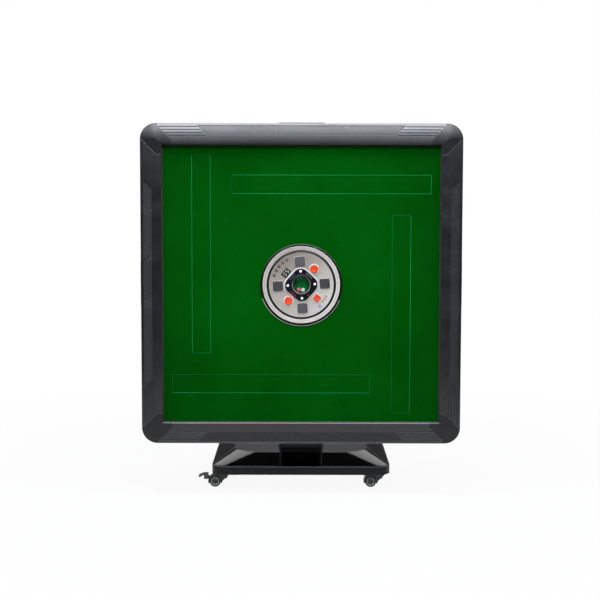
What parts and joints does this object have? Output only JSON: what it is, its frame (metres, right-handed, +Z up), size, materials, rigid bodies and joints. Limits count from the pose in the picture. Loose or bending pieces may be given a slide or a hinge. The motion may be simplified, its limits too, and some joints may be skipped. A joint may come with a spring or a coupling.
{
  "type": "mahjong table",
  "caption": "Folding automatic mahjong table standing folded on a wheeled base, with a rising centre console, tile lifts and a drawer in each side.",
  "frame": {"origin": "on the floor under the middle of the folded table's bounding box", "axes": "+Z up, -Y the way the folded tabletop faces, +X to the right seen from that side"},
  "size_m": [0.976, 0.6, 1.135],
  "materials": {
    "rail_plastic": "satin moulded plastic",
    "inlay_plastic": "fine diagonal pattern",
    "board": "raw plywood",
    "felt": "green baize",
    "box_plastic": "fine grain",
    "cover_steel": "powder coat",
    "frame_steel": "powder coat",
    "drawer_plastic": "satin",
    "runner_plastic": "smooth",
    "motor_case": "satin",
    "drum_plastic": "smooth",
    "drive_rubber": "matte",
    "circuit": "solder mask",
    "supply_case": "plain sheet",
    "inlet_plastic": "smooth",
    "rocker_plastic": "smooth",
    "collar_plastic": "polished",
    "console_black": "polished",
    "panel_metal": "circular brushed",
    "dome_clear": "clear acrylic",
    "dice_plate_green": "smooth",
    "button_grey": "satin",
    "button_red": "smooth",
    "base_gloss": "polished",
    "skirt_plastic": "satin",
    "zinc_steel": "bright zinc",
    "knob_plastic": "satin",
    "caster_plastic": "satin",
    "caster_tyre": "smooth",
    "lever_plastic": "satin"
  },
  "bodies": {
    "base": {"base_frame": "frame_steel", "base_skirt": "skirt_plastic", "base_cover": "base_gloss", "column": "cover_steel", "column_bolts": "zinc_steel", "hinge_head": "cover_steel", "hinge_pin": "zinc_steel"},
    "clamp": {"lock_knob": "knob_plastic"},
    "machine": {"rail_top": "rail_plastic", "rail_left": "rail_plastic", "rail_bottom": "rail_plastic", "rail_right": "rail_plastic", "corner_caps": "rail_plastic", "rail_inlays": "inlay_plastic", "tabletop_board": "board", "felt_cover": "felt", "box_shell": "box_plastic", "bottom_cover": "cover_steel", "chassis_frame": "frame_steel", "hinge_bracket": "cover_steel", "drawer_runners": "runner_plastic", "lift_motors": "motor_case", "drum_motor": "motor_case", "control_board": "circuit", "power_supply": "supply_case", "power_inlet": "inlet_plastic", "console_collar": "collar_plastic"},
    "drum": {"shuffle_drum": "drum_plastic"},
    "drive": {"drive_wheel": "drive_rubber"},
    "console": {"console_housing": "console_black", "console_panel": "panel_metal", "dice_bezel": "console_black", "dice_dome": "dome_clear"},
    "dice_plate": {"dice_plate": "dice_plate_green"},
    "rocker": {"power_switch": "rocker_plastic"},
    "dice_button_upper": {"dice_button_upper": "button_red"},
    "dice_button_lower": {"dice_button_lower": "button_red"},
    "start_button": {"start_button": "button_red"},
    "drawer_top": {"drawer_top": "drawer_plastic"},
    "lift_top": {"tile_lift_top": "felt"},
    "seat_button_top": {"seat_button_top": "button_grey"},
    "drawer_left": {"drawer_left": "drawer_plastic"},
    "lift_left": {"tile_lift_left": "felt"},
    "seat_button_left": {"seat_button_left": "button_grey"},
    "drawer_bottom": {"drawer_bottom": "drawer_plastic"},
    "lift_bottom": {"tile_lift_bottom": "felt"},
    "seat_button_bottom": {"seat_button_bottom": "button_grey"},
    "drawer_right": {"drawer_right": "drawer_plastic"},
    "lift_right": {"tile_lift_right": "felt"},
    "seat_button_right": {"seat_button_right": "button_grey"},
    "caster_front_left": {"caster_hood_front_left": "caster_plastic"},
    "wheels_front_left": {"caster_wheels_front_left": "caster_tyre"},
    "caster_front_right": {"caster_hood_front_right": "caster_plastic"},
    "wheels_front_right": {"caster_wheels_front_right": "caster_tyre"},
    "caster_rear_left": {"caster_hood_rear_left": "caster_plastic"},
    "wheels_rear_left": {"caster_wheels_rear_left": "caster_tyre"},
    "caster_rear_right": {"caster_hood_rear_right": "caster_plastic"},
    "wheels_rear_right": {"caster_wheels_rear_right": "caster_tyre"},
    "brake_front_left": {"brake_lever_front_left": "lever_plastic"},
    "brake_rear_right": {"brake_lever_rear_right": "lever_plastic"}
  },
  "joints": [
    {"name": "table_fold", "type": "hinge", "parent": "base", "child": "machine", "pos_m": [0, -0.0635, 0.5335], "axis": [-1, 0, 0], "range_deg": [0, 90]},
    {"name": "clamp_turn", "type": "hinge", "parent": "base", "child": "clamp", "pos_m": [0.06, -0.0635, 0.4785], "axis": [1, 0, 0], "range_deg": [0, 180]},
    {"name": "caster_swivel_front_left", "type": "hinge", "parent": "base", "child": "caster_front_left", "pos_m": [-0.245, -0.155, 0.04], "axis": [0, 0, 1], "continuous": true},
    {"name": "wheel_spin_front_left", "type": "hinge", "parent": "caster_front_left", "child": "wheels_front_left", "pos_m": [-0.27, -0.155, 0.0175], "axis": [0, 1, 0], "continuous": true},
    {"name": "caster_swivel_front_right", "type": "hinge", "parent": "base", "child": "caster_front_right", "pos_m": [0.245, -0.155, 0.04], "axis": [0, 0, 1], "continuous": true},
    {"name": "wheel_spin_front_right", "type": "hinge", "parent": "caster_front_right", "child": "wheels_front_right", "pos_m": [0.22, -0.155, 0.0175], "axis": [0, 1, 0], "continuous": true},
    {"name": "caster_swivel_rear_left", "type": "hinge", "parent": "base", "child": "caster_rear_left", "pos_m": [-0.245, 0.255, 0.04], "axis": [0, 0, 1], "continuous": true},
    {"name": "wheel_spin_rear_left", "type": "hinge", "parent": "caster_rear_left", "child": "wheels_rear_left", "pos_m": [-0.27, 0.255, 0.0175], "axis": [0, 1, 0], "continuous": true},
    {"name": "caster_swivel_rear_right", "type": "hinge", "parent": "base", "child": "caster_rear_right", "pos_m": [0.245, 0.255, 0.04], "axis": [0, 0, 1], "continuous": true},
    {"name": "wheel_spin_rear_right", "type": "hinge", "parent": "caster_rear_right", "child": "wheels_rear_right", "pos_m": [0.22, 0.255, 0.0175], "axis": [0, 1, 0], "continuous": true},
    {"name": "brake_press_front_left", "type": "hinge", "parent": "caster_front_left", "child": "brake_front_left", "pos_m": [-0.297, -0.155, 0.029], "axis": [0, -1, 0], "range_deg": [0, 10]},
    {"name": "brake_press_rear_right", "type": "hinge", "parent": "caster_rear_right", "child": "brake_rear_right", "pos_m": [0.193, 0.255, 0.029], "axis": [0, -1, 0], "range_deg": [0, 10]},
    {"name": "drawer_slide_top", "type": "slide", "parent": "machine", "child": "drawer_top", "axis": [0, 0, 1], "range_m": [0, 0.1]},
    {"name": "drawer_slide_left", "type": "slide", "parent": "machine", "child": "drawer_left", "axis": [-1, 0, 0], "range_m": [0, 0.1]},
    {"name": "drawer_slide_bottom", "type": "slide", "parent": "machine", "child": "drawer_bottom", "axis": [0, 0, -1], "range_m": [0, 0.1]},
    {"name": "drawer_slide_right", "type": "slide", "parent": "machine", "child": "drawer_right", "axis": [1, 0, 0], "range_m": [0, 0.1]},
    {"name": "lift_slide_top", "type": "slide", "parent": "machine", "child": "lift_top", "axis": [0, 1, 0], "range_m": [0, 0.056]},
    {"name": "lift_slide_left", "type": "slide", "parent": "machine", "child": "lift_left", "axis": [0, 1, 0], "range_m": [0, 0.056]},
    {"name": "lift_slide_bottom", "type": "slide", "parent": "machine", "child": "lift_bottom", "axis": [0, 1, 0], "range_m": [0, 0.056]},
    {"name": "lift_slide_right", "type": "slide", "parent": "machine", "child": "lift_right", "axis": [0, 1, 0], "range_m": [0, 0.056]},
    {"name": "drum_spin", "type": "hinge", "parent": "machine", "child": "drum", "pos_m": [0, -0.2, 0.647], "axis": [0, -1, 0], "continuous": true},
    {"name": "drive_spin", "type": "hinge", "parent": "machine", "child": "drive", "pos_m": [0.20294, -0.19, 0.84994], "axis": [0, -1, 0], "continuous": true},
    {"name": "console_rise", "type": "slide", "parent": "machine", "child": "console", "axis": [0, -1, 0], "range_m": [0, 0.06]},
    {"name": "dice_plate_spin", "type": "hinge", "parent": "console", "child": "dice_plate", "pos_m": [0, -0.27, 0.647], "axis": [0, -1, 0], "continuous": true},
    {"name": "seat_button_top_press", "type": "slide", "parent": "console", "child": "seat_button_top", "axis": [0, 1, 0], "range_m": [0, 0.0015], "stiffness_N_per_m": 400, "springref_m": -0.0005},
    {"name": "seat_button_left_press", "type": "slide", "parent": "console", "child": "seat_button_left", "axis": [0, 1, 0], "range_m": [0, 0.0015], "stiffness_N_per_m": 400, "springref_m": -0.0005},
    {"name": "seat_button_bottom_press", "type": "slide", "parent": "console", "child": "seat_button_bottom", "axis": [0, 1, 0], "range_m": [0, 0.0015], "stiffness_N_per_m": 400, "springref_m": -0.0005},
    {"name": "seat_button_right_press", "type": "slide", "parent": "console", "child": "seat_button_right", "axis": [0, 1, 0], "range_m": [0, 0.0015], "stiffness_N_per_m": 400, "springref_m": -0.0005},
    {"name": "dice_button_upper_press", "type": "slide", "parent": "console", "child": "dice_button_upper", "axis": [0, 1, 0], "range_m": [0, 0.0015], "stiffness_N_per_m": 400, "springref_m": -0.0005},
    {"name": "dice_button_lower_press", "type": "slide", "parent": "console", "child": "dice_button_lower", "axis": [0, 1, 0], "range_m": [0, 0.0015], "stiffness_N_per_m": 400, "springref_m": -0.0005},
    {"name": "start_button_press", "type": "slide", "parent": "console", "child": "start_button", "axis": [0, 1, 0], "range_m": [0, 0.0015], "stiffness_N_per_m": 400, "springref_m": -0.0005},
    {"name": "power_rocker", "type": "hinge", "parent": "machine", "child": "rocker", "pos_m": [0.4645, -0.161, 0.4045], "axis": [0, -1, 0], "range_deg": [-6, 6]}
  ],
  "couplings": [
    {"joint": "drive_spin", "follows": "drum_spin", "ratio": -10.607}
  ]
}
